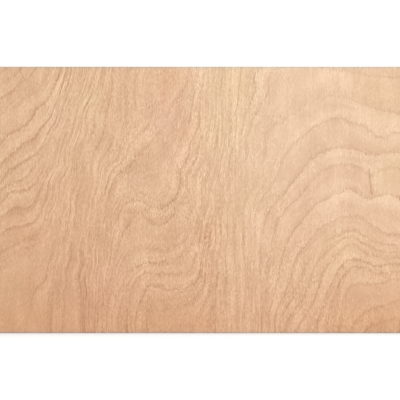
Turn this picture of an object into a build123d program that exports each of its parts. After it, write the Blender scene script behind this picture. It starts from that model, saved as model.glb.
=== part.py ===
from build123d import *
import os

# A plywood sheet lying flat with its better face up. Thin rotary-cut veneers are glued
# one across the next, pressed into a single board, sawn to size and sanded, so the
# sheet is one bonded solid and its plies show only on the four sawn edges.
# Millimetres. X runs along the sheet, Y across it, and Z up from the back face.
# The origin is the centre of the back face, where the sheet rests.

# The sheet as it is sold: a full sheet of 2440 x 1220 crosscut into four, which leaves
# the face grain running across the panel, along Y.
LENGTH = 1220.0
WIDTH = 610.0

# The lay-up. The face and back veneers are thinner than the rest, because they are sanded.
FACE_PLY = 1.3
INNER_PLY = 1.4
INNER_PLIES = 11

# Wood shrinks across its grain and hardly at all along it, so on a sawn edge the plies
# that were cut along their grain dry back a hair behind those cut across it.
SET_BACK = 0.1

# Sanding takes the sharp arris off each face, and handling wears the upright corners.
ARRIS = 0.4
CORNER_WEAR = 0.6


def ply_thicknesses():
    """Each veneer's thickness, from the back of the sheet to its face."""
    return [FACE_PLY] + [INNER_PLY] * INNER_PLIES + [FACE_PLY]


def veneer(thickness, base, grain_across):
    """One ply with its underside at height base. It is longest along its own grain."""
    length = LENGTH - 2 * SET_BACK if grain_across else LENGTH
    width = WIDTH if grain_across else WIDTH - 2 * SET_BACK
    outline = RectangleRounded(length, width, CORNER_WEAR)
    return Pos(0, 0, base) * extrude(outline, thickness)


def ease_arris(outer_face):
    """The ply this face belongs to, with the corner round the face sanded off."""
    return chamfer(outer_face.edges(), ARRIS)


def plywood_sheet():
    """The whole board: every veneer crosses the one below it, and all are one solid."""
    plies = []
    base = 0.0
    for count, thickness in enumerate(ply_thicknesses()):
        plies.append(veneer(thickness, base, grain_across=count % 2 == 0))
        base += thickness
    plies[0] = ease_arris(plies[0].faces().sort_by(Axis.Z)[0])
    plies[-1] = ease_arris(plies[-1].faces().sort_by(Axis.Z)[-1])
    return Part() + plies


sheet = plywood_sheet()
sheet.label = "plywood_sheet"
os.makedirs("parts", exist_ok=True)
export_step(sheet, "parts/plywood_sheet.step")
print("solids", len(sheet.solids()), "faces", len(sheet.faces()), "size", sheet.bounding_box().size)
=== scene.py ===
import bpy
import numpy as np
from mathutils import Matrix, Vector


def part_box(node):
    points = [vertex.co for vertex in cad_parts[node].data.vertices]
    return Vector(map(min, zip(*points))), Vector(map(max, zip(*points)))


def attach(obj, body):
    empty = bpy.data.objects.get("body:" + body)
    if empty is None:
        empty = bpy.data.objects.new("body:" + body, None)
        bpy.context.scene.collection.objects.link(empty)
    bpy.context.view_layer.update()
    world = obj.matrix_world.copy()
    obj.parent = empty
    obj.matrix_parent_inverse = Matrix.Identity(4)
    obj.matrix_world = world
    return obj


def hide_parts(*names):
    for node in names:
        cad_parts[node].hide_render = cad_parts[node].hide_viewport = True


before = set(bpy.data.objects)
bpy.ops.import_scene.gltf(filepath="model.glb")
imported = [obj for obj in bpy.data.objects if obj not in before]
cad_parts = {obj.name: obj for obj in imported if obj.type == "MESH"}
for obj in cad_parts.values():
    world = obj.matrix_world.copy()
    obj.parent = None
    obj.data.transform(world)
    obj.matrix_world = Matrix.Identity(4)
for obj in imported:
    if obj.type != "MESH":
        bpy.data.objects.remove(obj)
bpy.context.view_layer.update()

# The back veneer. A hardwood log is turned against a knife and peeled off in one
# long ribbon; this length of it is clipped off, glued under the ply that crosses
# it, with its grain across the sheet along Y, and sanded. Sizes are in millimetres.
MM = 0.001
low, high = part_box("plywood_sheet")
LENGTH, WIDTH, THICKNESS = [(b - a) / MM for a, b in zip(low, high)]
FACE_PLY = 1.3
SET_BACK = 0.1
ARRIS = 0.4
CORNER_WEAR = 0.6
MESH_STEP = 4.0

# The saw's wavering: the depth of each of its three waves, and how long each is and where
# it starts. The end edges have the same waves from further on.
SAW_WAVER = 0.015
SAW_WAVES = ((9.1, 0.0), (23.7, 1.3), (61.0, 4.1))
END_EDGES_FROM = 2000.0


def mesh_lines(size):
    """Places of the mesh lines across the sheet, one of them where each worn corner starts."""
    inner = size / 2 - CORNER_WEAR
    count = 2 * round(inner / MESH_STEP)
    return np.concatenate([[-size / 2], np.linspace(-inner, inner, count + 1), [size / 2]])


def sawn_outline(across, along, set_in):
    """The mesh lines' ends, and the outline through them anticlockwise from above."""
    last_x, last_y = len(across) - 1, len(along) - 1
    ends = [(i, 0) for i in range(last_x)] + [(last_x, j) for j in range(last_y)]
    ends += [(i, last_y) for i in range(last_x, 0, -1)] + [(0, j) for j in range(last_y, 0, -1)]
    reach = np.array([across[-1] - set_in, along[-1] - set_in])
    points = np.array([(across[i], along[j]) for i, j in ends])
    on_edge = np.array([(i in (0, last_x), j in (0, last_y)) for i, j in ends])
    corner = on_edge.all(axis=1, keepdims=True)
    run = np.where(on_edge[:, 0], points[:, 1] + END_EDGES_FROM, points[:, 0])
    waver = len(SAW_WAVES)
    for wave_length, start in SAW_WAVES:
        waver = waver + np.sin(run / wave_length + start)
    waver = waver[:, None] * SAW_WAVER * on_edge
    worn = np.where(corner, (CORNER_WEAR - set_in) * (1 - 0.5 ** 0.5), 0.0)
    return ends, np.clip(points, worn - reach, reach - worn) - np.sign(points) * waver


def ply_mesh(name, across, along, levels, shown):
    """One ply as a closed mesh.

    levels are (height, set in from the edge) from the underside up. shown is "top" or
    "bottom", the side with the full mesh, or None for a ply that glue hides on both.
    """
    points, polygons, rings = [], [], []
    for height, set_in in levels:
        ends, outline = sawn_outline(across, along, set_in)
        rings.append({end: len(points) + k for k, end in enumerate(ends)})
        points += [(x, y, height) for x, y in outline]
    for lower, upper in zip(rings, rings[1:]):
        for a, b in zip(ends, ends[1:] + ends[:1]):
            polygons.append((lower[a], lower[b], upper[b], upper[a]))
    last_x, last_y = len(across) - 1, len(along) - 1
    bottom, top = ("bottom", rings[0], levels[0][0]), ("top", rings[-1], levels[-1][0])
    for side, ring, height in (bottom, top):
        cover = []
        if side == shown:
            spot = dict(ring)
            for i in range(1, last_x):
                for j in range(1, last_y):
                    spot[i, j] = len(points)
                    points.append((across[i], along[j], height))
            for i in range(last_x):
                for j in range(last_y):
                    corners = (i, j), (i + 1, j), (i + 1, j + 1), (i, j + 1)
                    cover.append(tuple(spot[corner] for corner in corners))
        else:
            for i in range(last_x):
                left = [ring[0, j] for j in range(last_y - 1, 0, -1)] if i == 0 else []
                right = [ring[last_x, j] for j in range(1, last_y)] if i == last_x - 1 else []
                near, far = (ring[i, 0], ring[i + 1, 0]), (ring[i + 1, last_y], ring[i, last_y])
                cover.append((*near, *right, *far, *left))
        polygons += cover if side == "top" else [polygon[::-1] for polygon in cover]
    mesh = bpy.data.meshes.new(name)
    mesh.from_pydata([(x * MM, y * MM, z * MM) for x, y, z in points], [], polygons)
    return mesh


def points_of(mesh):
    """The mesh's points in millimetres."""
    points = np.empty(len(mesh.vertices) * 3)
    mesh.vertices.foreach_get("co", points)
    return points.reshape(-1, 3) / MM


def note(mesh, name, values):
    """Writes a number or a triple at each point of the mesh, for its finish to read."""
    kind, field = ("FLOAT", "value") if values.ndim == 1 else ("FLOAT_VECTOR", "vector")
    mesh.attributes.new(name, kind, "POINT").data.foreach_set(field, values.ravel())


# How easily the bent plate of note_growth gives way at a place on a line, and the limits of
# what it says: the least rings in 100 mm, the darkest line, the widest shade on each side.
BEND_GIVE = 0.01
FEWEST_RINGS = 0.6
DARKEST_LINE = 2.2
WIDEST_FAR_SHADE, WIDEST_NEAR_SHADE = -20.0, 30.0


def note_growth(mesh, lines):
    """Notes the ring number, its slope and spacing, and its lines' tone all over a veneer.

    Each line is (ring number, how dark, how far its shade fades, places along it). A shade
    of less than 0 lies on its far side, and a place may end in a darkness of its own. A
    thin plate bent through the places of every line gives what lies between them, and it
    gives way more where the lines crowd, so that they run even there.
    """
    unit = 100.0
    marks = np.array([(x, y, ring, own[0] if own else dark, fade)
                      for ring, dark, fade, path in lines for x, y, *own in path], float)
    places, known = marks[:, :2] / unit, marks[:, 2:]
    count = len(places)

    def plate_at(part, bent, tilt):
        reach = part[:, None] - places[None]
        apart = (reach ** 2).sum(-1) + 1e-12
        value = (apart * np.log(apart)) @ bent + tilt[0] + part @ tilt[1:]
        lean = 2 * (np.log(apart) + 1)
        slope = [(lean * reach[:, :, k]) @ bent[:, 0] + tilt[1 + k, 0] for k in (0, 1)]
        return value, slope, unit / np.maximum(np.hypot(*slope), FEWEST_RINGS)

    apart = ((places[:, None] - places[None]) ** 2).sum(-1)
    flat = np.column_stack([np.ones(count), places])
    give = np.full(count, BEND_GIVE)
    for _ in range(3):
        plate = apart * np.log(apart + 1e-12) + np.diag(give)
        system = np.block([[plate, flat], [flat.T, np.zeros((3, 3))]])
        pull = np.linalg.solve(system, np.vstack([known, np.zeros((3, 3))]))
        bent, tilt = pull[:count], pull[count:]
        give = BEND_GIVE * np.maximum(30.0 / plate_at(places, bent, tilt)[2], 0.3) ** 2
    rings, slopes, darknesses, fades = [], [], [], []
    for part in np.array_split(points_of(mesh)[:, :2] / unit, 60):
        value, slope, spacing = plate_at(part, bent, tilt)
        rings.append(value[:, 0])
        slopes.append(np.column_stack([slope[0] / unit, slope[1] / unit, spacing]))
        darknesses.append(np.clip(value[:, 1], 0.0, DARKEST_LINE))
        fades.append(np.clip(value[:, 2], WIDEST_FAR_SHADE, WIDEST_NEAR_SHADE))
    note(mesh, "growth_ring", np.concatenate(rings))
    note(mesh, "growth_slope", np.concatenate(slopes))
    note(mesh, "line_darkness", np.concatenate(darknesses))
    note(mesh, "line_fade", np.concatenate(fades))


# A polygon whose normal rises less than this belongs to a sawn edge.
EDGE_RISE = 0.3


def unroll(mesh, heights, rows_from, rows_to):
    """Lays the mesh out flat: the shown side in two halves, and its four edges in 12 rows.

    The near edge takes rows 0 to 3, the right-hand end 4 and 5, the far edge 6 to 9 and
    the left-hand end 10 and 11. A side that glue hides shrinks to a spot.
    """
    row_count, row_length, row_margin, row_gap = 12, 305.0, 4.0, 0.1
    half_side_gap, half_starts, half_rise = 0.003, (0.002, 0.463), 0.455
    half_x, half_y = LENGTH / 2, WIDTH / 2
    places = points_of(mesh)
    layer = mesh.uv_layers.new(name="OFBake")
    for polygon in mesh.polygons:
        middle, lean = polygon.center / MM, polygon.normal
        from_centre = middle.z - THICKNESS / 2
        for loop in polygon.loop_indices:
            x, y, z = places[mesh.loops[loop].vertex_index]
            if abs(lean.z) < EDGE_RISE:
                if abs(lean.y) > abs(lean.x):
                    side, along, at = (0, 1, 0) if lean.y < 0 else (6, -1, 0)
                else:
                    side, along, at = (4, 1, 1) if lean.x > 0 else (10, -1, 1)
                half = (half_x, half_y)[at]
                last_row = 3 - 2 * at
                row = min(max(int((middle[at] * along + half) // row_length), 0), last_row)
                run = (x, y)[at] * along + half - row * row_length
                u = (run + row_margin) / (row_length + 2 * row_margin)
                rise = (z - heights[0]) / (heights[1] - heights[0])
                up = (side + row + row_gap + (1 - 2 * row_gap) * rise) / row_count
                v = rows_from + (rows_to - rows_from) * up
            elif abs(from_centre) > THICKNESS / 2 - 1.0 and lean.z * from_centre > 0:
                right = middle.x > 0
                across = (x if right else x + half_x) / half_x
                u = half_side_gap + (1 - 2 * half_side_gap) * across
                v = half_starts[right] + half_rise * (y + half_y) / WIDTH
            else:
                u, v = 0.5 + 0.1 * x / LENGTH, rows_to + 0.005 + 0.002 * y / WIDTH
            layer.data[loop].uv = (u, v)


class Wiring:
    """The nodes of one tree, with short ways to add and join them."""

    def __init__(self, tree):
        self.tree = tree
        self.tree.nodes.clear()

    def add(self, kind, inputs=None, **settings):
        node = self.tree.nodes.new(kind)
        for key, value in settings.items():
            setattr(node, key, value)
        for key, value in (inputs or {}).items():
            if isinstance(value, bpy.types.NodeSocket):
                self.tree.links.new(value, node.inputs[key])
            else:
                node.inputs[key].default_value = value
        return node

    def maths(self, operation, *terms):
        return self.add("ShaderNodeMath", dict(enumerate(terms)), operation=operation).outputs[0]

    def vector(self, operation, *terms):
        return self.add("ShaderNodeVectorMath", dict(enumerate(terms)), operation=operation).outputs[0]

    def joined(self, x, y, z):
        return self.add("ShaderNodeCombineXYZ", {0: x, 1: y, 2: z}).outputs[0]

    def parts(self, vector):
        return self.add("ShaderNodeSeparateXYZ", {0: vector}).outputs

    def total(self, first, *others):
        for other in others:
            first = self.maths("ADD", first, other)
        return first

    def times(self, first, *others):
        for other in others:
            first = self.maths("MULTIPLY", first, other)
        return first

    def less(self, value, other):
        """The value with the other taken off."""
        return self.maths("SUBTRACT", value, other)

    def scaled(self, value, by, more):
        """The value so many times over, and so much more."""
        return self.maths("MULTIPLY_ADD", value, by, more)

    def at_least(self, value, lowest):
        return self.maths("MAXIMUM", value, lowest)

    def at_most(self, value, highest):
        return self.maths("MINIMUM", value, highest)

    def graded(self, value, low, high, at_low=0.0, at_high=1.0):
        """at_low up to the low value, at_high from the high one on, and even in between."""
        return self.add("ShaderNodeMapRange", {
            "Value": value, "From Min": low, "From Max": high,
            "To Min": at_low, "To Max": at_high}).outputs[0]

    def patches(self, place, sizes, seed, detail=1.0):
        """Uneven noise about 0, in patches of the given sizes along X, Y and Z."""
        scaled = self.vector("MULTIPLY", place, tuple(1 / size for size in sizes))
        moved = self.vector("ADD", scaled, (seed * 17.3, seed * 5.9, seed * 11.1))
        noise = self.add("ShaderNodeTexNoise", {"Vector": moved, "Scale": 1.0, "Detail": detail})
        return self.less(noise.outputs[0], 0.5)


class Finish(Wiring):
    """The nodes of one wood finish."""

    def __init__(self, name, seed):
        self.seed = seed
        self.material = bpy.data.materials.new(name)
        self.material.use_nodes = True
        super().__init__(self.material.node_tree)
        place = self.add("ShaderNodeTexCoord").outputs["Object"]
        self.place = self.vector("MULTIPLY", place, (1 / MM, 1 / MM, 1 / MM))
        self.x, self.y, self.z = self.parts(self.place)

    def spots(self, sizes, number, detail=1.0):
        """This finish's own patches, of the given sizes along X, Y and Z."""
        return self.patches(self.place, sizes, self.seed + number, detail)

    def noted(self, name, output="Fac"):
        return self.add("ShaderNodeAttribute", attribute_name=name).outputs[output]

    def off_slant(self, at, lean):
        """How far to the right of a line up the sheet, which leans so much from the upright."""
        return self.scaled(self.y, lean, self.less(self.x, at))

    def dying_away(self, distance, width):
        """1 at no distance, falling to about a third over the width."""
        return self.maths("EXPONENT", self.times(self.maths("DIVIDE", distance, width), -1.0))

    def bell(self, distance, width):
        """1 at no distance, falling to about a third at the width on either side."""
        share = self.maths("DIVIDE", distance, width)
        return self.maths("EXPONENT", self.times(share, share, -1.0))

    def tones(self, amount, *stops):
        """Colours along the amount, each (amount, colour as it looks, out of 255)."""
        first, last = stops[0][0], stops[-1][0]
        node = self.add("ShaderNodeValToRGB", {0: self.graded(amount, first, last)})
        bands = node.color_ramp.elements
        while len(bands) < len(stops):
            bands.new(0.5)
        for band, (spot, colour) in zip(bands, stops):
            band.position = (spot - first) / (last - first)
            band.color = [*(((c / 255 + 0.055) / 1.055) ** 2.4 for c in colour), 1.0]
        return node.outputs[0]

    def either(self, amount, first, second):
        mix = {0: amount, 6: first, 7: second}
        return self.add("ShaderNodeMix", mix, data_type="RGBA").outputs[2]

    def surface(self, colour, roughness, relief):
        """A dull wood surface of this colour and roughness, its relief in millimetres."""
        bump = self.add("ShaderNodeBump", {"Height": relief, "Strength": 1.0, "Distance": MM})
        wood = self.add("ShaderNodeBsdfPrincipled", {
            "Base Color": colour, "Roughness": roughness, "Normal": bump.outputs[0],
            "Specular IOR Level": 0.3})
        self.add("ShaderNodeOutputMaterial", {"Surface": wood.outputs[0]})
        return self.material


# Sanded wood as it looks, out of 255, at its darkest, middle and palest tone levels, and
# what is added to its red, green and blue where it is paler, pinker, or greyed by dirt and painted
# shade.
SANDED_DARKEST = (187, 140, 104)
SANDED_MIDDLE = (227, 185, 149)
SANDED_PALEST = (250, 213, 177)
DARKEST_LEVEL, PALEST_LEVEL = -44.0, 28.0
DRIFT_TINT = (0.0044, 0.0104, 0.0148)
YELLOW_TO_PINK = (0.012, -0.024, 0.075)
GREYING_AND_SHADE = (-0.29, -0.02, 0.33)
GREY_AND_SHADE_WIDTH = 3.0

# How far each kind of mark moves the tone level.
LINE_TONE, SHADE_TONE, PALE_SIDE_TONE = -16.0, -12.0, 2.4
BAND_TONE, BLOTCH_TONE = 22.0, 24.0
FIBRE_TONE, DASH_TONE, PEBBLE_TONE = 68.0, 44.0, 86.0
GLINT_TONE, CUT_PORE_TONE = 210.0, -90.0
STREAK_TONE, STRIPE_TONE, BUNDLE_TONE = 12.0, 30.0, 46.0
LEVEL_SHIFT = 3.5

# The width of a line and of its pale side, on either side of it.
LINE_BEFORE, LINE_AFTER = 1.6, 1.0
PALE_SIDE_WIDTH = 8.0

# Where along X the wood turns from close to coarse, and the middle, lean and width of the
# long stripes and of the bundle of rings.
CLOSE_TO, COARSE_FROM = -280.0, -150.0
STRIPES_AT, STRIPES_LEAN, STRIPES_WIDTH = 82.0, 0.12, 62.0
BUNDLE_AT, BUNDLE_LEAN, BUNDLE_WIDTH = -255.0, -0.2, 60.0

# Short flecks of fibre: how many lie across one ring, and how far they move the tone level.
FLECKS = ((2.2, 80.0), (4.0, 80.0), (7.3, 40.0), (13.0, 24.0))
FLECK_WIDTH = 2.6
FLECK_LENGTH = 70.0
NATURAL_BASE = 2.718


class SandedVeneer(Finish):
    """The nodes of a sanded rotary-cut veneer. Each kind of mark is made by a step of its own.

    A mark is given as what it adds to the tone level. Patches are given by their sizes
    across the fibres, along them and through them.
    """

    def __init__(self, name, seed, strength):
        super().__init__(name, seed)
        self.strength = strength
        self.pebbles = self.spots((2.5, 3.6, 4), 20)
        self.slope_x, self.slope_y, self.spacing = self.parts(self.noted("growth_slope", "Vector"))
        self.tell_places_apart()
        self.follow_rings()

    def in_rings(self, rings, share, per_mm, number):
        """Noise in streaks along the rings, so many across a ring, changing slowly along it."""
        along_x, along_y = self.times(self.x, per_mm), self.times(self.y, per_mm)
        place = self.joined(self.times(rings, share), along_x, along_y)
        return self.patches(place, (1, 1, 1), self.seed + number, 2.0)

    def tell_places_apart(self):
        """How the wood differs from place to place, each way as a share of up to 1."""
        # It is closer in its grain, and cuts cleaner, towards the left.
        self.coarse = self.graded(self.x, CLOSE_TO, COARSE_FROM, 0.76)
        # Right of the middle the fibres run straight the whole way, in long stripes, and left
        # of it the rings crowd into a bundle with stripes of its own. Both are a bit smoother.
        self.straight = self.bell(self.off_slant(STRIPES_AT, STRIPES_LEAN), STRIPES_WIDTH)
        self.bundle = self.bell(self.off_slant(BUNDLE_AT, BUNDLE_LEAN), BUNDLE_WIDTH)
        self.smoother = self.total(self.times(self.straight, -0.3), self.times(self.bundle, -0.1), 1.0)
        # It is calmer to the upper right. Its lines are fainter where the rings crowd, and its
        # fibres where they spread.
        self.calm = self.graded(self.scaled(self.y, 0.8, self.x), 0.0, 400.0, 1.0, 0.6)
        self.roomy = self.graded(self.spacing, 9.0, 24.0, 0.68)
        self.spread = self.graded(self.spacing, 12.0, 50.0, 0.9, 0.7)

    def follow_rings(self):
        """The ring at each place, and the lines before and after it in millimetres.

        The knife crosses upright fibres, so each line is ragged along them, up and down, and
        more so where it crosses them than where it runs along them.
        """
        across = self.times(self.maths("ABSOLUTE", self.slope_y), self.spacing)
        crossing = self.graded(across, 0.2, 0.7, 0.4)
        self.teeth = self.spots((2.4, 11, 9), 1)
        ragged = self.total(self.times(self.teeth, 13.0), self.times(self.spots((7, 40, 9), 2), 8.0),
                            self.times(self.spots((12, 13, 9), 21, 2.0), 14.0))
        sideways = self.times(self.spots((16, 90, 9), 3), 2.0)
        self.flowing = self.total(self.noted("growth_ring"), self.times(sideways, self.slope_x))
        self.ring = self.total(self.flowing, self.times(ragged, self.coarse, crossing, self.slope_y))
        within = self.maths("FRACT", self.ring)
        self.before = self.times(self.less(1.0, within), self.spacing)
        self.after = self.times(within, self.spacing)
        # A line comes and goes along its length.
        held = self.total(self.times(self.spots((14, 40, 9), 4), 1.3),
                          self.times(self.spots((45, 90, 9), 11), 0.8), 1.05)
        held = self.at_least(held, 0.1)
        self.dark = self.times(self.noted("line_darkness"), held, self.roomy)

    def lines(self):
        """The growth lines, combed out by the fibres that cross them."""
        combed = self.total(self.times(self.teeth, 2.6), self.times(self.pebbles, 4.2))
        combed = self.at_least(self.scaled(combed, self.coarse, 1.0), 0.0)
        line = self.total(self.dying_away(self.before, LINE_BEFORE),
                          self.dying_away(self.after, LINE_AFTER))
        return self.times(line, self.dark, combed, LINE_TONE * self.strength)

    def line_sides(self):
        """One side of a line is shaded and the other pale."""
        fade = self.noted("line_fade")
        shaded = self.at_most(self.at_least(self.scaled(fade, 0.07, 0.5), 0.0), 1.0)
        other = self.less(1.0, shaded)
        reach = self.at_least(self.maths("ABSOLUTE", fade), 4.0)
        shade = self.total(self.times(self.dying_away(self.before, reach), shaded),
                           self.times(self.dying_away(self.after, reach), other))
        pale = self.total(
            self.times(self.dying_away(self.after, PALE_SIDE_WIDTH), self.after, shaded),
            self.times(self.dying_away(self.before, PALE_SIDE_WIDTH), self.before, other))
        return self.total(self.times(shade, self.dark, SHADE_TONE * self.strength),
                          self.times(pale, self.dark, PALE_SIDE_TONE * self.strength))

    def stripes(self):
        """Faint streaks all over, and the long stripes and the bundle's where they lie."""
        in_bundle = self.in_rings(self.flowing, 2.4, 0.004, 25)
        return self.total(self.times(self.spots((3.2, 120, 9), 8), STREAK_TONE),
                          self.times(self.spots((4.6, 190, 9), 22), self.straight, STRIPE_TONE),
                          self.times(in_bundle, self.bundle, BUNDLE_TONE))

    def bands(self):
        """Fainter bands within each ring."""
        return self.times(self.in_rings(self.ring, 2.2, 0.006, 5), BAND_TONE * self.strength)

    def flecks(self):
        """Short flecks of fibre along each ring, as wide where the rings crowd as elsewhere."""
        gathered = self.scaled(self.spots((20, 60, 30), 18), 3.6, 0.9)
        gathered = self.times(self.at_least(gathered, 0.15), self.calm)
        every_size = []
        for number, (share, tone) in enumerate(FLECKS):
            misfit = self.maths("DIVIDE", self.spacing, FLECK_WIDTH * share)
            misfit = self.maths("LOGARITHM", misfit, NATURAL_BASE)
            flecks = self.in_rings(self.flowing, share, 1 / FLECK_LENGTH, 12 + number)
            every_size.append(self.times(flecks, self.bell(misfit, 0.5), gathered, self.smoother,
                                         tone * self.strength))
        return self.total(*every_size)

    def fibres(self):
        """The fibres, rough in tufts along the growth lines and smooth between them.

        Gives the fibres, their rough dashes, the pale glints where one lies open and the
        dark pores where one is cut.
        """
        beside = self.total(self.dying_away(self.before, 9.0), self.dying_away(self.after, 5.0))
        tufts = self.total(self.times(beside, self.dark, 0.5),
                           self.times(self.spots((25, 50, 30), 16), 2.4), 0.6)
        tufts = self.at_most(self.at_least(tufts, 0.1), 1.8)
        tufts = self.times(tufts, self.spread, self.coarse)
        clusters = self.total(self.times(self.spots((17, 20, 20), 19), 5.0),
                              self.times(beside, self.dark, 0.8), -0.1)
        clusters = self.at_most(self.at_least(clusters, 0.0), 1.6)
        # They are smoother to the right, but near the sheet's near edge only further right.
        below = self.at_most(self.maths("ADD", self.y, 120.0), 0.0)
        opened = self.scaled(below, 2.0, self.x)
        opened = self.graded(opened, 60.0, 220.0, 1.1, 0.45)
        fine = self.times(self.spots((2.0, 7.5, 4), 6), self.spread, opened, self.coarse,
                          self.smoother, FIBRE_TONE)
        dashes = self.times(self.spots((2.0, 8.0, 4), 7), tufts, self.smoother, DASH_TONE)
        pebbled = self.times(self.pebbles, clusters, self.roomy, self.roomy, self.coarse, self.calm,
                             PEBBLE_TONE)
        glints, cut_pores = (
            self.times(self.at_least(self.less(spots, 0.12), 0.0), tufts)
            for spots in (self.spots((2.1, 13, 4), 17), self.spots((2.0, 11, 4), 10)))
        return self.total(fine, pebbled), dashes, self.times(glints, GLINT_TONE), cut_pores

    def tint(self, paler, pinker):
        """What the wood's colour is multiplied by, where it is paler, pinker, or greyed by dirt and
        painted shade.
        """
        tint = self.vector("MULTIPLY_ADD", paler, DRIFT_TINT, (1.0, 1.0, 1.0))
        pinker = self.total(pinker, self.times(self.spots((80, 110, 70), 15), 0.6))
        tint = self.vector("MULTIPLY_ADD", pinker, YELLOW_TO_PINK, tint)
        # Handling dirt and painted shade grey both faces a little all round the edge, most along the
        # near one.
        from_long_edge = self.less(WIDTH / 2, self.maths("ABSOLUTE", self.y))
        from_end_edge = self.less(LENGTH / 2, self.maths("ABSOLUTE", self.x))
        from_edge = self.at_most(from_long_edge, from_end_edge)
        greyer_and_shaded = self.times(self.dying_away(from_edge, GREY_AND_SHADE_WIDTH),
                            self.scaled(self.y, -0.2 / WIDTH, 1.1))
        return self.vector("MULTIPLY_ADD", greyer_and_shaded, GREYING_AND_SHADE, tint)


def sanded_veneer(name, seed, strength, looks_of):
    """Sanded veneer, its growth figure this strong. Its tone is the sum of all its marks.

    looks_of says how much paler and how much pinker this veneer is from place to place,
    and gives the level of its own marks.
    """
    wood = SandedVeneer(name, seed, strength)
    paler, pinker, own_marks = looks_of(wood)
    lines = wood.lines()
    fibres, dashes, glints, cut_pores = wood.fibres()
    blotches = wood.times(wood.spots((34, 80, 30), 9), BLOTCH_TONE)
    level = wood.total(lines, wood.line_sides(), wood.bands(), own_marks, wood.flecks(), fibres,
                       dashes, wood.stripes(), blotches, glints,
                       wood.times(cut_pores, CUT_PORE_TONE), LEVEL_SHIFT)
    grain = wood.tones(level, (DARKEST_LEVEL, SANDED_DARKEST), (0.0, SANDED_MIDDLE),
                       (PALEST_LEVEL, SANDED_PALEST))
    roughness = wood.scaled(level, -0.0015, 0.62)
    relief = wood.total(wood.times(cut_pores, -0.25), wood.times(dashes, 0.001),
                        wood.times(lines, 0.0006))
    return wood.surface(wood.vector("MULTIPLY", grain, wood.tint(paler, pinker)), roughness, relief)


# Sawn edges as they look at three tone levels, along the fibres and across them, and glue.
LONG_GRAIN = ((-40.0, (196, 156, 118)), (0.0, (226, 190, 152)), (30.0, (242, 214, 180)))
END_GRAIN = ((-40.0, (132, 92, 60)), (0.0, (174, 132, 96)), (30.0, (202, 164, 126)))
DRIED_GLUE = (0.13, 0.06, 0.025, 1.0)

# How far apart in the noise two neighbouring plies are, so that each has marks of its own.
PLY_PATCH_STEP = 37.0


def sawn_edge(name, seed):
    """Sawn and lightly sanded edges: end grain or long grain on each ply, glue between them."""
    wood = Finish(name, seed)
    ply, through = wood.noted("ply"), wood.noted("through")
    at_end = wood.maths("GREATER_THAN", wood.maths("ABSOLUTE", wood.x), LENGTH / 2 - 1.0)
    end_grain = wood.maths("COMPARE", at_end, wood.maths("FLOORED_MODULO", ply, 2.0), 0.5)
    along_end = wood.maths("ADD", wood.y, END_EDGES_FROM)
    run = wood.add("ShaderNodeMix", {0: at_end, 2: wood.x, 3: along_end}).outputs[0]
    wood.place = wood.joined(run, wood.times(ply, PLY_PATCH_STEP), wood.z)
    by_ply = wood.times(wood.spots((900, 20, 900), 0), 40.0)
    long_fibres = wood.total(wood.times(wood.spots((24, 9, 0.35), 1, 2.0), 60.0),
                             wood.times(wood.spots((120, 9, 1.2), 2), 40.0))
    end_pores = wood.total(wood.times(wood.spots((0.8, 9, 0.5), 3, 2.0), 50.0),
                           wood.times(wood.spots((7, 9, 0.8), 4), 60.0))
    saw_marks = wood.spots((1.6, 90, 40), 5, 2.0)
    long_tone = wood.tones(wood.total(by_ply, long_fibres, wood.times(saw_marks, 20.0)), *LONG_GRAIN)
    end_tone = wood.tones(wood.total(by_ply, end_pores, wood.times(saw_marks, 30.0)), *END_GRAIN)
    from_middle = wood.maths("ABSOLUTE", wood.less(through, 0.5))
    from_glue = wood.times(wood.less(0.5, from_middle), 1.4)
    smear = wood.scaled(wood.spots((6, 9, 9), 6, 2.0), 0.25, 0.07)
    glue = wood.maths("LESS_THAN", from_glue, smear)
    glued = wood.either(wood.times(glue, 0.75), wood.either(end_grain, long_tone, end_tone), DRIED_GLUE)
    roughness = wood.scaled(end_grain, 0.12, 0.68)
    relief = wood.total(wood.times(saw_marks, 0.05), wood.times(end_pores, end_grain, 0.0015),
                        wood.times(glue, 0.03))
    return wood.surface(glued, roughness, relief)


def back_looks(wood):
    """The back is cut from a plainer, slightly darker part of the log, with no fault in it."""
    drift = wood.patches(wood.place, (400, 700, 400), 3)
    return wood.scaled(drift, 30.0, -7.0), 0.0, 0.0


def dress_ply(mesh, *finishes):
    """Makes a piece of the mesh, its shown side in the first finish and its edges in the last."""
    piece = bpy.data.objects.new(mesh.name, mesh)
    bpy.context.scene.collection.objects.link(piece)
    mesh.materials.clear()
    for finish in finishes:
        mesh.materials.append(finish)
    for polygon in mesh.polygons:
        on_edge = abs(polygon.normal.z) < EDGE_RISE
        polygon.material_index = len(finishes) - 1 if on_edge else 0
    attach(piece, "root")
    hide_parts("plywood_sheet")


# The back's growth lines, as note_growth reads them.
BACK_GROWTH = [
    (0, 0.4, 10, [(-600, 300), (-560, 60), (-575, -300)]),
    (2, 0.5, 8, [(-470, 300), (-440, 120), (-452, -60), (-480, -300)]),
    (4, 0.4, 12, [(-390, 300), (-352, 110), (-360, -90), (-395, -300)]),
    (7, 0.6, 8, [(-285, 300), (-240, 90), (-250, -120), (-290, -300)]),
    (9, 0.5, 10, [(-225, 300), (-165, 160), (-120, 110), (-78, 150), (-60, 300)]),
    (9, 0.5, 10, [(-205, -300), (-150, -150), (-112, -105), (-70, -150), (-55, -300)]),
    (12, 0.6, 8, [(20, 300), (5, 80), (-2, -110), (15, -300)]),
    (15, 0.4, 12, [(120, 300), (95, 60), (98, -130), (125, -300)]),
    (17, 0.6, 8, [(205, 300), (172, 40), (180, -140), (215, -300)]),
    (19, 0.4, 10, [(330, 300), (285, 60), (290, -120), (340, -300)]),
    (21, 0.5, 8, [(455, 300), (405, 90), (408, -100), (450, -300)]),
    (23, 0.4, 12, [(590, 300), (540, 80), (545, -90), (590, -300)]),
]

# The part of the flat map, of 0 to 1, that the rows of an outer veneer's edges take.
OUTER_ROWS = (0.925, 0.99)

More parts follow.
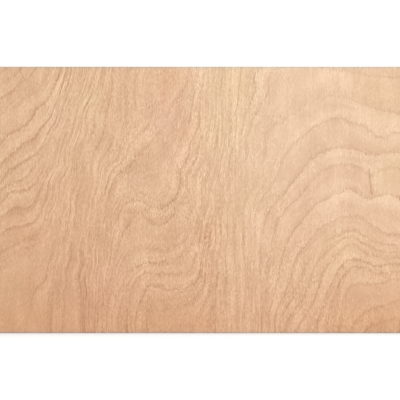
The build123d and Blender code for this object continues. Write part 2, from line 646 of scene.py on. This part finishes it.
edge_wood = sawn_edge("sawn_edge", 21)
ply_x, ply_y = mesh_lines(LENGTH - 2 * SET_BACK), mesh_lines(WIDTH)
back_levels = [(0.0, ARRIS), (ARRIS, 0.0), (FACE_PLY, 0.0)]
back_mesh = ply_mesh("back_veneer", ply_x, ply_y, back_levels, "bottom")
back_heights = points_of(back_mesh)[:, 2]
note_growth(back_mesh, BACK_GROWTH)
note(back_mesh, "ply", back_heights * 0.0)
note(back_mesh, "through", 0.5 + 0.5 * back_heights / FACE_PLY)
unroll(back_mesh, (0.0, FACE_PLY), *OUTER_ROWS)
dress_ply(back_mesh, sanded_veneer("back_veneer_wood", 41, 0.8, back_looks), edge_wood)

# The inner plies. Eleven veneers of the same wood, dried and spread with glue,
# are laid with the grain of each across the last and pressed hot. Only their
# sawn edges show. Geometry Nodes stack them from one ply.
INNER_PLIES = 11
INNER_PLY = 1.4
PRESSED_WOBBLE = 0.5
INNER_ROWS = (0.0, 0.985)

one_ply_levels = [(0.0, 0.0), (INNER_PLY, 0.0)]
one_ply = ply_mesh("one_ply", mesh_lines(LENGTH), mesh_lines(WIDTH), one_ply_levels, None)
note(one_ply, "through", points_of(one_ply)[:, 2] / INNER_PLY)
press = bpy.data.objects.new("press", one_ply)
bpy.context.scene.collection.objects.link(press)

lay_up = Wiring(bpy.data.node_groups.new("lay_up", "GeometryNodeTree"))
lay_up_amounts = {}
for title, kind, amount in (
        ("One Ply", "Geometry", None), ("Plies", "Int", INNER_PLIES),
        ("Length", "Float", LENGTH), ("Width", "Float", WIDTH),
        ("Ply Thickness", "Float", INNER_PLY), ("First Height", "Float", FACE_PLY),
        ("Set Back", "Float", SET_BACK), ("Wobble", "Float", PRESSED_WOBBLE),
        ("Edge Wood", "Material", edge_wood)):
    socket = lay_up.tree.interface.new_socket(title, in_out="INPUT", socket_type="NodeSocket" + kind)
    lay_up_amounts[socket.identifier] = amount
lay_up.tree.interface.new_socket("Plies Pressed", in_out="OUTPUT", socket_type="NodeSocketGeometry")
given = lay_up.add("NodeGroupInput").outputs

# Each ply is laid on the last. It shrinks across its grain: the first in its width, the
# next in its length, and so on by turns.
stack = lay_up.add("GeometryNodeMeshLine", {
    "Count": given["Plies"],
    "Start Location": lay_up.joined(0.0, 0.0, lay_up.times(given["First Height"], MM)),
    "Offset": lay_up.joined(0.0, 0.0, lay_up.times(given["Ply Thickness"], MM))}).outputs[0]
index = lay_up.add("GeometryNodeInputIndex").outputs[0]
grain_across = lay_up.maths("FLOORED_MODULO", index, 2.0)
shrunk = lay_up.times(given["Set Back"], -2.0)
grain_along = lay_up.less(1.0, grain_across)
short_x = lay_up.maths("DIVIDE", lay_up.times(shrunk, grain_across), given["Length"])
short_y = lay_up.maths("DIVIDE", lay_up.times(shrunk, grain_along), given["Width"])
dried = lay_up.joined(lay_up.maths("ADD", short_x, 1.0), lay_up.maths("ADD", short_y, 1.0), 1.0)
laid = lay_up.add("GeometryNodeInstanceOnPoints", {
    "Points": stack, "Instance": given["One Ply"], "Scale": dried}).outputs[0]
numbered = lay_up.add("GeometryNodeStoreNamedAttribute", {
    "Geometry": laid, "Name": "ply", "Value": lay_up.maths("ADD", index, 1.0)},
    data_type="FLOAT", domain="INSTANCE").outputs[0]
real = lay_up.add("GeometryNodeRealizeInstances", {"Geometry": numbered}).outputs[0]
# Pressing leaves the glue lines a little wavy, but not the outermost two.
spot = lay_up.vector("SCALE", lay_up.add("GeometryNodeInputPosition").outputs[0])
spot.node.inputs["Scale"].default_value = 1 / MM
above = lay_up.less(lay_up.parts(spot)[2], given["First Height"])
depth = lay_up.times(given["Ply Thickness"], given["Plies"])
from_mid_depth = lay_up.maths("ABSOLUTE", lay_up.less(above, lay_up.times(depth, 0.5)))
inside = lay_up.maths("LESS_THAN", from_mid_depth, lay_up.times(depth, 0.48))
wobble = lay_up.times(lay_up.patches(spot, (55, 55, 0.9), 5, 2.0), given["Wobble"], inside, MM)
pressed = lay_up.add("GeometryNodeSetPosition", {
    "Geometry": real, "Offset": lay_up.joined(0.0, 0.0, wobble)}).outputs[0]
finished = lay_up.add("GeometryNodeSetMaterial", {
    "Geometry": pressed, "Material": given["Edge Wood"]}).outputs[0]
lay_up.add("NodeGroupOutput", {0: finished})

pressing = press.modifiers.new("lay_up", "NODES")
pressing.node_group = lay_up.tree
for identifier, amount in lay_up_amounts.items():
    if amount is not None:
        pressing[identifier] = amount
pressed_board = press.evaluated_get(bpy.context.evaluated_depsgraph_get())
inner_mesh = bpy.data.meshes.new_from_object(pressed_board)
inner_mesh.name = "inner_plies"
bpy.data.objects.remove(press)
unroll(inner_mesh, (FACE_PLY, THICKNESS - FACE_PLY), *INNER_ROWS)
dress_ply(inner_mesh, edge_wood)

# The face veneer, the best of the ribbon. The knife cuts through the wavy
# growth rings at a flat slant, which opens them out into tall arches and broad
# contours; belt sanding leaves the fibres and the cut pores just open.
# The face's growth lines, as note_growth reads them, read off the figure.
FACE_GROWTH = [
    (1, 0.6, 6, [(-612, -150), (-600, -50), (-585, 50), (-550, 146), (-505, 221), (-454, 263),
        (-430, 280), (-403, 303)]),
    (2, 1.2, -6, [(-458, 232), (-430, 248), (-410, 269), (-375, 302)]),
    (3, 0.35, 5, [(-458, 193), (-425, 208), (-390, 237), (-360, 262), (-345, 300)]),
    (4, 1.4, 6, [(-585, -303), (-575, -200), (-558, -80), (-535, 15), (-500, 80), (-458, 124, 1.8),
        (-440, 146), (-410, 162), (-388, 180), (-370, 212), (-335, 257), (-318, 300)]),
    (5, 1.1, -10, [(-458, 77), (-430, 105), (-401, 131), (-366, 163), (-342, 189), (-329, 221),
        (-299, 303)]),
    (6, 1.0, -6, [(-457, 37), (-439, 67), (-406, 87), (-371, 109), (-356, 131), (-329, 184),
        (-309, 238), (-293, 290)]),
    (7, 1.2, -8, [(-458, 8), (-436, 38), (-411, 43), (-384, 71), (-352, 111, 0.5),
        (-328, 166, 0.5), (-290, 300, 0.5)]),
    (8, 0.8, 5, [(-458, -8), (-443, 15), (-400, 22, 1.4), (-370, 42), (-356, 72, 0.6),
        (-322, 155, 0.4)]),
    (9, 0.9, -6, [(-458, -41), (-440, -30), (-430, -20), (-398, -19), (-382, -8), (-370, 18, 0.6),
        (-361, 42, 0.3), (-337, 98, 0.0), (-321, 150, 0.3), (-299, 215, 0.6)]),
    (10, 1.1, -14, [(-538, -303), (-530, -225), (-515, -160), (-490, -107), (-457, -77),
        (-424, -61, 0.8), (-400, -58, 0.8), (-384, -50, 1.3), (-367, -34, 1.2), (-356, -8, 0.8),
        (-345, 22, 0.5), (-320, 79, 0.8), (-307, 149, 0.8)]),
    (11, 0.6, 24, [(-458, -127), (-425, -105), (-384, -85), (-367, -76), (-356, -54),
        (-348, -21, 0.9), (-330, 43), (-323, 61)]),
    (12, 0.2, 8, [(-503, -303), (-495, -220), (-480, -175), (-458, -150), (-420, -129),
        (-380, -102), (-360, -85), (-349, -58), (-342, -30), (-321, 40)]),
    (12.6, 0.1, 10, [(-440, -303), (-438, -230), (-415, -175)]),
    (13, 0.9, 7, [(-388, -303, 0.3), (-386, -265, 0.3), (-383, -225, 0.5), (-372, -203),
        (-350, -178), (-335, -122), (-317, -65), (-308, -20), (-297, 50)]),
    (14, 0.1, 5, [(-341, -303, 0.8), (-340, -260, 0.8), (-337, -215, 0.8), (-329, -178, 0.3),
        (-318, -125), (-307, -75), (-296, 25), (-281, 110), (-258, 200)]),
    (15, 1.0, -7, [(-318, -300, 0.4), (-316, -260, 0.5), (-314, -215, 0.8), (-307, -160),
        (-298, -110), (-290, -55), (-286, -10), (-268, 67), (-241, 169)]),
    (16, 0.4, 8, [(-273, -303), (-271, -255), (-269, -210), (-266, -140), (-262, -70), (-256, -10),
        (-246, 45), (-222, 150), (-197, 303)]),
    (17, 0.5, 12, [(-259, -303), (-258, -260), (-257, -215), (-253, -150), (-249, -90),
        (-243, -30), (-234, 26), (-205, 121), (-180, 216), (-167, 303)]),
    (18, 0.4, 10, [(-222, 30), (-188, 95), (-152, 160, 0.3), (-147, 205, 0.15),
        (-143, 290, 0.15)]),
    (19, 0.7, 8, [(-201, 68), (-160, 129), (-118, 171, 0.5), (-108, 201, 0.2), (-97, 295, 0.2)]),
    (20, 1.0, -8, [(-245, -303), (-245, -260), (-243, -215), (-238, -165), (-232, -115),
        (-225, -60), (-220, -10), (-209, 26, 1.5), (-194, 52, 1.5), (-175, 70, 1.2),
        (-146, 101, 0.8), (-104, 147, 0.45), (-73, 203, 0.45), (-55, 232, 0.5), (-38, 255, 0.5),
        (-24, 303, 0.5)]),
    (21, 0.4, -6, [(-215, -140), (-208, -60), (-200, -30), (-188, -5), (-160, 17, 0.1),
        (-145, 22, 0.1), (-115, 15, 0.1), (-97, 12), (-78, 54), (-61, 99), (-32, 163)]),
    (22, 0.9, 9, [(-222, -300, 1.2), (-221, -250, 1.2), (-205, -120, 1.1), (-190, -50, 0.7),
        (-177, -15, 0.6), (-150, 0, 0.6), (-110, -18, 0.8), (-95, -22, 0.8), (-75, -12, 0.9),
        (-56, 1, 1.4), (-40, 49, 1.6), (-23, 105, 1.9), (-1, 172, 1.4), (5, 250, 0.9),
        (11, 303, 0.9)]),
    (23, 0.8, 6, [(-213, -300, 0.5), (-214, -250, 0.5), (-199, -150, 0.5), (-178, -78, 0.8),
        (-160, -55), (-137, -33), (-118, -48), (-97, -58), (-77, -50), (-49, -9), (-33, 51),
        (-8, 114, 0.5), (14, 200, 0.3), (23, 303, 0.3)]),
    (24, 0.05, 10, [(-190, -200), (-178, -145), (-155, -120), (-120, -110, 0.2), (-80, -118, 0.2),
        (-48, -108, 0.2), (-28, -85), (-8, 0), (18, 100), (27, 200), (36, 300)]),
    (25, 0.8, -6, [(-183, -300, 0.4), (-178, -240, 0.4), (-150, -157, 0.8), (-128, -146, 1.3),
        (-100, -143, 1.4), (-72, -137, 1.1), (-45, -124, 0.8), (-27, -108, 0.3), (-15, -78, 0.1),
        (5, 0, 0.1), (26, 100, 0.2), (36, 200, 0.2), (46, 300, 0.2)]),
    (26, 0.7, -6, [(-167, -300), (-165, -240), (-153, -192), (-125, -165, 0.9), (-95, -167, 0.9),
        (-40, -167), (-17, -152), (-4, -117, 1.1), (9, -37, 1.1), (35, 100, 0.3), (46, 200, 0.2),
        (56, 300, 0.1)]),
    (27, 1.0, 5, [(-148, -300), (-143, -250), (-128, -220), (-107, -194), (-97, -200), (-75, -206),
        (-38, -203, 1.2), (-15, -195, 1.3), (-3, -178, 1.5), (4, -124, 2.2), (10, -100, 2.2),
        (17, -58, 2.2), (28, -20, 1.6), (41, 100, 0.65), (53, 200, 0.65), (64, 300, 0.65)]),
    (28, 0.5, -9, [(-122, -300), (-115, -246), (-103, -226), (-65, -242), (-24, -234), (-5, -218),
        (13, -172, 0.9), (23, -95, 1.1), (35, -21, 1.0), (49, 99, 0.65), (61, 200, 0.65),
        (72, 300, 0.65)]),
    (29, 0.65, -6, [(24, -203), (35, -102), (50, 49), (60, 99), (70, 200), (81, 300)]),
    (30, 0.65, 14, [(36, -303), (34, -245), (34, -205), (38, -135), (43, -45), (47, 15), (65, 97),
        (82, 201), (88, 250), (94, 303)]),
    (31, 0.85, 5, [(62, -303), (60, -225), (60, -150, 1.3), (63, -50, 1.3), (76, 48), (92, 105),
        (101, 170, 1.3), (115, 212, 1.0), (129, 252, 1.1), (142, 303, 1.3)]),
    (32, 0.7, 6, [(84, -303, 0.2), (83, -225, 0.3), (83, -165, 0.5), (82, -50, 0.4),
        (80, -20, 0.0), (86, 30, 0.0), (99, 80, 0.2), (106, 140, 0.5), (120, 185), (142, 222, 0.5),
        (159, 285, 0.4), (170, 297, 0.4), (195, 304, 0.4), (295, 301, 0.4), (385, 286, 0.5),
        (455, 280), (500, 282), (545, 275), (580, 255), (605, 220)]),
    (33, 0.7, 7, [(105, -303, 0.3), (107, -220, 0.6), (107, -160, 0.6), (103, -55, 0.3),
        (110, -2, 0.3), (131, 38, 0.4), (152, 110, 0.5), (180, 175, 0.4), (215, 198, 0.4),
        (255, 222, 0.35), (320, 236, 0.35), (362, 222, 0.4), (410, 206, 0.6), (455, 198, 1.0),
        (500, 197), (540, 180), (570, 140), (590, 80), (603, 0), (610, -100)]),
    (34, 0.8, -7, [(117, -303, 0.4), (119, -230, 0.4), (121, -145, 0.4), (118, -70, 0.5),
        (128, -25, 0.5), (147, 12, 0.6), (172, 49, 0.6), (188, 93, 0.6), (217, 131, 0.7),
        (252, 161, 0.8), (276, 176, 0.7), (320, 188, 0.7), (345, 178, 0.7), (370, 172), (412, 145),
        (455, 155)]),
    (35, 1.0, 16, [(128, -303), (130, -250), (136, -180), (141, -125), (148, -65, 0.8),
        (186, 5, 0.8), (235, 65, 0.8), (256, 95, 0.9), (290, 111, 0.8), (350, 115, 0.8),
        (395, 103, 0.8), (455, 109, 0.8), (495, 101), (530, 75), (555, 25), (570, -50),
        (580, -150), (585, -303)]),
    (36, 0.6, -7, [(138, -303, 0.3), (150, -210, 0.3), (165, -95, 0.3), (180, -42, 0.6),
        (206, -10), (264, 57), (301, 79), (362, 77), (390, 58), (415, 71), (455, 73)]),
    (37, 0.9, 10, [(158, -300, 0.5), (158, -255, 0.5), (184, -159, 0.5), (206, -86), (232, -50),
        (268, -10), (312, 12), (350, 22), (383, 1), (402, 7), (455, 5)]),
    (38, 1.0, -6, [(174, -300), (180, -245), (207, -180), (215, -145), (238, -107), (272, -64),
        (298, -50), (331, -36), (370, -40), (409, -66), (455, -79), (490, -84), (518, -110),
        (535, -165), (545, -230), (550, -303)]),
    (39, 0.9, -12, [(228, -200, 0.0), (258, -122, 0.0), (288, -97, 0.2), (318, -81), (350, -68),
        (375, -84), (395, -98, 0.3), (455, -105, 0.3)]),
    (40, 1.0, -7, [(191, -301), (207, -264), (242, -207), (268, -138), (310, -98), (335, -86),
        (360, -89), (378, -97), (395, -109), (410, -117), (455, -117)]),
    (41, 0.7, 5, [(222, -300), (257, -240), (283, -165), (308, -130), (350, -102), (366, -112),
        (384, -124), (402, -128), (455, -128)]),
    (42, 2.0, -8, [(269, -300, 1.2), (287, -235, 1.2), (308, -182), (322, -158), (350, -136),
        (370, -141), (386, -145), (400, -154), (455, -148), (482, -155), (503, -185), (515, -230),
        (522, -303)]),
    (43, 1.2, -5, [(281, -300, 0.4), (300, -235, 0.4), (322, -178), (350, -151), (370, -151),
        (385, -155), (402, -166), (455, -161)]),
    (44, 0.8, -8, [(316, -300), (333, -213), (340, -200), (362, -190), (395, -192), (430, -183),
        (455, -180), (475, -195), (488, -230), (495, -303)]),
    (45, 0.8, -8, [(350, -290), (370, -262), (400, -245), (430, -237), (455, -230)]),
    (46, 0.7, -6, [(375, -303), (395, -285), (425, -275), (455, -270)]),
]


# Broad patches: (place, reach, how much paler than the rest, how much pinker).
FACE_PATCHES = [
    ((-290, 210), 75, 8.0, 0.0), ((-400, -78), 36, -6.0, 0.0), ((-150, -130), 75, 5.0, 0.0),
    ((-140, 35), 40, 6.0, 0.0), ((-445, -205), 45, 6.0, -0.3), ((-70, 285), 40, -8.0, 0.0),
    ((-28, 155), 38, -8.0, 0.0), ((30, -65), 45, -6.0, 0.0), ((10, -290), 45, -6.0, 0.0),
    ((330, -305), 90, -6.0, 0.0), ((410, 240), 45, -5.0, -0.3), ((-240, 235), 45, 0.0, -0.6),
    ((80, 260), 50, 0.0, -0.7), ((45, 170), 45, 0.0, -0.5), ((435, 65), 35, 0.0, -0.6),
    ((90, 0), 40, 0.0, -0.3), ((310, -125), 40, 0.0, -0.4), ((-275, -80), 60, 0.0, -0.2),
    ((-70, 180), 45, 0.0, 0.5), ((-60, 100), 40, 0.0, 0.3), ((310, 60), 100, 0.0, 0.4),
    ((-240, -205), 90, 0.0, 0.4), ((150, -190), 70, 0.0, 0.2), ((-78, 228), 24, -7.0, 0.4),
    ((20, -170), 25, -3.0, 0.4), ((15, -80), 20, -5.0, 0.0),
]


def note_patches(mesh, patches):
    """Notes how much paler and pinker the wood is at each point of a veneer."""
    places = points_of(mesh)[:, :2]
    cover = [np.exp(-((places - place) ** 2).sum(axis=1) / reach ** 2) for place, reach, _, _ in patches]
    note(mesh, "paler", sum(share * patch[2] for share, patch in zip(cover, patches)))
    note(mesh, "pinker", sum(share * patch[3] for share, patch in zip(cover, patches)))


# The wood pales to the right of a place along X, over this width, by this much at the near
# edge and at the far one, the greater paling at the far edge being painted light; the near edge is
# darker with painted shade, and the two right-hand corners are darker.
PALES_AT, PALES_OVER = -10.0, 120.0
PALER_NEAR, PALER_FAR = 5.0, 10.0
NEAR_EDGE_PAINTED_SHADE, RIGHT_CORNER_TONE, RIGHT_CORNER_REACH = -24.0, -9.0, 460.0
WHOLE_FACE_TONE = 5.0

# The fault: the place of its middle, how far it leans, where it is whole and where it has
# died away on either side of its middle, and its width. Then the painted shade and shadow
# on the face along the near and the far edge: (width, tone).
FAULT_PLACE, FAULT_LEAN, FAULT_WIDTH = (393.5, 42.0), 0.1, 1.9
FAULT_WHOLE_TO, FAULT_GONE_AT = 26.0, 34.0
FAULT_TONE = -30.0
NEAR_RIM_SHADE, FAR_RIM_SHADE = (1.6, -36.0), (2.5, -7.0)


def face_looks(wood):
    """The wood pales to the right, more so towards the far edge as painted light, and darkens
    to its near edge as painted shade and to its right-hand corners.

    A short dark fault runs up the fibres near the right-hand end, and painted shade darkens
    the eased corners along both long edges.
    """
    half = WIDTH / 2
    rightward = wood.maths("DIVIDE", wood.less(wood.x, PALES_AT), PALES_OVER)
    rightward = wood.maths("TANH", rightward)
    # Painted light: the paling to the right grows towards the far edge.
    painted_light_upward = wood.scaled(wood.y, (PALER_FAR - PALER_NEAR) / WIDTH,
                        (PALER_FAR + PALER_NEAR) / 2)
    # Painted shade: the face darkens towards its near edge.
    painted_shade_nearer = wood.maths("DIVIDE", wood.less(half, wood.y), WIDTH)
    painted_shade_nearer = wood.maths("POWER", painted_shade_nearer, 2.0)
    to_right_end = wood.at_least(wood.maths("DIVIDE", wood.x, RIGHT_CORNER_REACH), 0.0)
    to_right_end = wood.maths("POWER", to_right_end, 3.0)
    to_long_edges = wood.maths("POWER", wood.maths("DIVIDE", wood.y, half), 2.0)
    paler = wood.total(wood.times(rightward, painted_light_upward), wood.times(painted_shade_nearer, NEAR_EDGE_PAINTED_SHADE),
                       wood.times(to_right_end, to_long_edges, RIGHT_CORNER_TONE),
                       wood.noted("paler"), WHOLE_FACE_TONE)
    fault_x, fault_y = FAULT_PLACE
    off_fault = wood.maths("ABSOLUTE", wood.off_slant(fault_x, FAULT_LEAN))
    along_fault = wood.maths("ABSOLUTE", wood.less(wood.y, fault_y))
    whole = wood.graded(along_fault, FAULT_WHOLE_TO, FAULT_GONE_AT, 1.0, 0.0)
    broken = wood.scaled(wood.patches(wood.place, (5, 14, 9), 3), 2.0, 1.0)
    fault = wood.times(wood.dying_away(off_fault, FAULT_WIDTH), whole, broken, FAULT_TONE)
    # Painted shade along the eased corners of the near and far edges, deepest along the near one.
    painted_rim_shade = [wood.times(wood.dying_away(wood.maths(sign, half, wood.y), width), tone)
            for sign, (width, tone) in (("ADD", NEAR_RIM_SHADE), ("SUBTRACT", FAR_RIM_SHADE))]
    return paler, wood.noted("pinker"), wood.total(fault, *painted_rim_shade)


face_levels = [(THICKNESS - FACE_PLY, 0.0), (THICKNESS - ARRIS, 0.0), (THICKNESS, ARRIS)]
face_mesh = ply_mesh("face_veneer", ply_x, ply_y, face_levels, "top")
face_heights = points_of(face_mesh)[:, 2]
note_growth(face_mesh, FACE_GROWTH)
note_patches(face_mesh, FACE_PATCHES)
note(face_mesh, "ply", face_heights * 0.0 + INNER_PLIES + 1)
note(face_mesh, "through", 0.5 + 0.5 * (THICKNESS - face_heights) / FACE_PLY)
unroll(face_mesh, (THICKNESS - FACE_PLY, THICKNESS), *OUTER_ROWS)
dress_ply(face_mesh, sanded_veneer("face_veneer_wood", 2, 1.0, face_looks), edge_wood)

# The floor that the sheet lies on, a plain white board, with one large soft
# lamp over it in a white room. The camera hangs straight above the sheet and
# sees its whole width, but not its two ends.
FLOOR_REACH = 6.0
FLOOR_DROP = 0.0001
FLOOR_WHITE = (0.9, 0.9, 0.9, 1.0)
GLOW_NEAR, GLOW_FAR = (0.9, 0.28), (2.2, 0.6)
ROOM_LIGHT = 0.72
LAMP_POWER = 24.0
LAMP_PLACE = (0.9, 0.9, 2.2)
LAMP_SIZE = 3.0
CAMERA_HEIGHT = 1.2888


def seen_directly(wiring):
    """1 for what the camera sees, also in a gloss or through glass, and 0 for what lights."""
    path = wiring.add("ShaderNodeLightPath").outputs
    seen = wiring.total(path["Is Camera Ray"], path["Is Glossy Ray"], path["Is Transmission Ray"])
    return wiring.at_most(seen, 1.0)


floor_mesh = bpy.data.meshes.new("floor")
floor_corners = [(x * FLOOR_REACH, y * FLOOR_REACH, -FLOOR_DROP)
                 for x, y in ((-1, -1), (1, -1), (1, 1), (-1, 1))]
floor_mesh.from_pydata(floor_corners, [], [(0, 1, 2, 3)])
floor = bpy.data.objects.new("floor", floor_mesh)
bpy.context.scene.collection.objects.link(floor)
floor_paint = bpy.data.materials.new("floor_paint")
floor_paint.use_nodes = True
paint = Wiring(floor_paint.node_tree)
white = paint.add("ShaderNodeBsdfDiffuse", {"Color": FLOOR_WHITE}).outputs[0]
from_sheet = paint.vector("LENGTH", paint.add("ShaderNodeTexCoord").outputs["Object"])
from_sheet = from_sheet.node.outputs["Value"]
(near, near_glow), (far, far_glow) = GLOW_NEAR, GLOW_FAR
strength = paint.times(seen_directly(paint), paint.graded(from_sheet, near, far, near_glow, far_glow))
glow = paint.add("ShaderNodeEmission", {"Color": (1.0, 1.0, 1.0, 1.0), "Strength": strength}).outputs[0]
bright_white = paint.add("ShaderNodeAddShader", {0: white, 1: glow}).outputs[0]
paint.add("ShaderNodeOutputMaterial", {"Surface": bright_white})
floor_mesh.materials.append(floor_paint)

world = bpy.data.worlds.new("white_room")
world.use_nodes = True
bpy.context.scene.world = world
room = Wiring(world.node_tree)
light = room.scaled(seen_directly(room), 1.0 - ROOM_LIGHT, ROOM_LIGHT)
sky = room.add("ShaderNodeBackground", {"Color": (1.0, 1.0, 1.0, 1.0), "Strength": light}).outputs[0]
room.add("ShaderNodeOutputWorld", {"Surface": sky})

lamp_data = bpy.data.lights.new("soft_lamp", "AREA")
lamp_data.energy = LAMP_POWER
lamp_data.size = LAMP_SIZE
lamp = bpy.data.objects.new("soft_lamp", lamp_data)
lamp.location = LAMP_PLACE
bpy.context.scene.collection.objects.link(lamp)

camera_data = bpy.data.cameras.new("camera")
camera_data.lens = 50.0
camera_data.sensor_width = 36.0
camera = bpy.data.objects.new("camera", camera_data)
camera.location = (0.0, 0.0, CAMERA_HEIGHT)
bpy.context.scene.collection.objects.link(camera)
bpy.context.scene.camera = camera
bpy.context.scene.view_settings.view_transform = "Standard"
